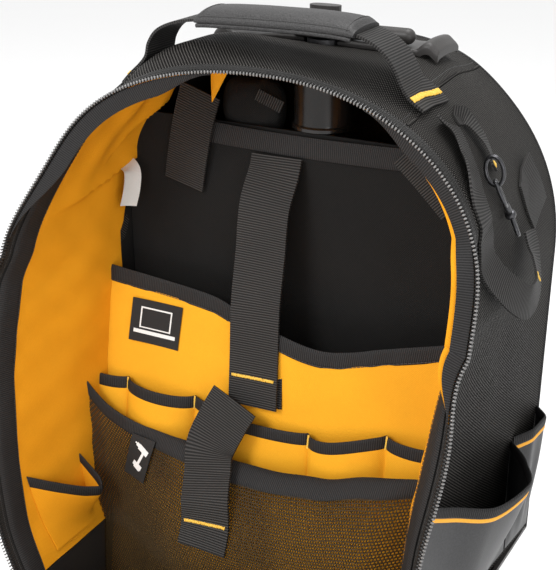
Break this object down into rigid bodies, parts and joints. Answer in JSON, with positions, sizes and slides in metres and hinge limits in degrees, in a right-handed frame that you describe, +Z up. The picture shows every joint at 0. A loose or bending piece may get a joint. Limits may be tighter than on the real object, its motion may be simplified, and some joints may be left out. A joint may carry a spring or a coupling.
{
  "type": "wheeled tool backpack",
  "caption": "Wheeled tool backpack standing open, front flap on the floor, with divider, net and tool pockets, hold-down straps, carry handle and telescopic pull handle.",
  "frame": {"origin": "on the flat underside of the base, below the pull handle's plane of symmetry", "axes": "+X to the right seen from the opening, the opening faces -Y, +Z up"},
  "size_m": [0.4313, 0.7072, 0.5364],
  "materials": {
    "black_cloth": "coarse woven",
    "yellow_cloth": "fine woven",
    "binding_tape": "ribbed tape",
    "webbing": "ribbed webbing",
    "padded_grip": "grained, padded",
    "net": "open net",
    "coated_cloth": "smooth coated",
    "dark_metal": "black satin",
    "housing_plastic": "glossy",
    "pole_metal": "dark satin",
    "hard_plastic": "fine grained",
    "wheel_rubber": "matt",
    "satin_label": "satin ribbon",
    "icon_label": "woven label"
  },
  "bodies": {
    "bag": {"gusset_left": "black_cloth", "gusset_top": "black_cloth", "gusset_right": "black_cloth", "lining_left": "yellow_cloth", "lining_right": "yellow_cloth", "lining_rear": "black_cloth", "zip_tape": "binding_tape", "rim_binding": "binding_tape", "back_panel": "black_cloth", "base_tray": "hard_plastic", "axle_left": "dark_metal", "axle_right": "dark_metal", "pole_outer": "housing_plastic", "pole_housing": "housing_plastic", "trolley_guard": "hard_plastic", "handle_webbing": "webbing", "handle_grip": "padded_grip", "divider": "yellow_cloth", "divider_binding": "binding_tape", "rear_panel": "black_cloth", "rear_band": "webbing", "rear_pad": "black_cloth", "tool_pockets": "yellow_cloth", "tool_binding": "binding_tape", "mesh_pocket": "net", "mesh_binding": "binding_tape", "wall_pocket": "yellow_cloth", "wall_pocket_binding": "binding_tape", "hold_strap_upper": "webbing", "hold_strap_lower": "webbing", "label_laptop": "icon_label", "label_drill": "icon_label", "label_care": "satin_label", "rear_webbing": "webbing", "pocket_right": "coated_cloth", "pocket_right_binding": "binding_tape", "pocket_right_rear": "coated_cloth", "pocket_right_rear_binding": "binding_tape", "pocket_left": "coated_cloth", "pocket_left_binding": "binding_tape", "pocket_left_rear": "coated_cloth", "pocket_left_rear_binding": "binding_tape", "gear_strap": "webbing", "ring_strap": "webbing", "ring": "dark_metal", "snap_hook": "dark_metal", "ribbed_patch": "webbing", "shoulder_pad_left": "black_cloth", "shoulder_web_left": "webbing", "shoulder_pad_right": "black_cloth", "shoulder_web_right": "webbing", "flap_cloth": "black_cloth", "flap_lining": "yellow_cloth", "flap_tape": "binding_tape"},
    "mid_stage": {"pole_mid": "pole_metal"},
    "grip_stage": {"pole_inner": "pole_metal", "trolley_grip": "hard_plastic"},
    "button": {"trolley_button": "hard_plastic"},
    "wheel_left_body": {"wheel_left": "wheel_rubber"},
    "wheel_right_body": {"wheel_right": "wheel_rubber"}
  },
  "joints": [
    {"name": "mid_stage_slide", "type": "slide", "parent": "bag", "child": "mid_stage", "axis": [0, 0, 1], "range_m": [0, 0.24]},
    {"name": "grip_stage_slide", "type": "slide", "parent": "mid_stage", "child": "grip_stage", "axis": [0, 0, 1], "range_m": [0, 0.26]},
    {"name": "button_press", "type": "slide", "parent": "grip_stage", "child": "button", "axis": [0, 0, -1], "range_m": [0, 0.003], "stiffness_N_per_m": 400},
    {"name": "wheel_left_spin", "type": "hinge", "parent": "bag", "child": "wheel_left_body", "pos_m": [-0.134, 0.152, 0.034], "axis": [1, 0, 0], "continuous": true},
    {"name": "wheel_right_spin", "type": "hinge", "parent": "bag", "child": "wheel_right_body", "pos_m": [0.134, 0.152, 0.034], "axis": [1, 0, 0], "continuous": true}
  ]
}
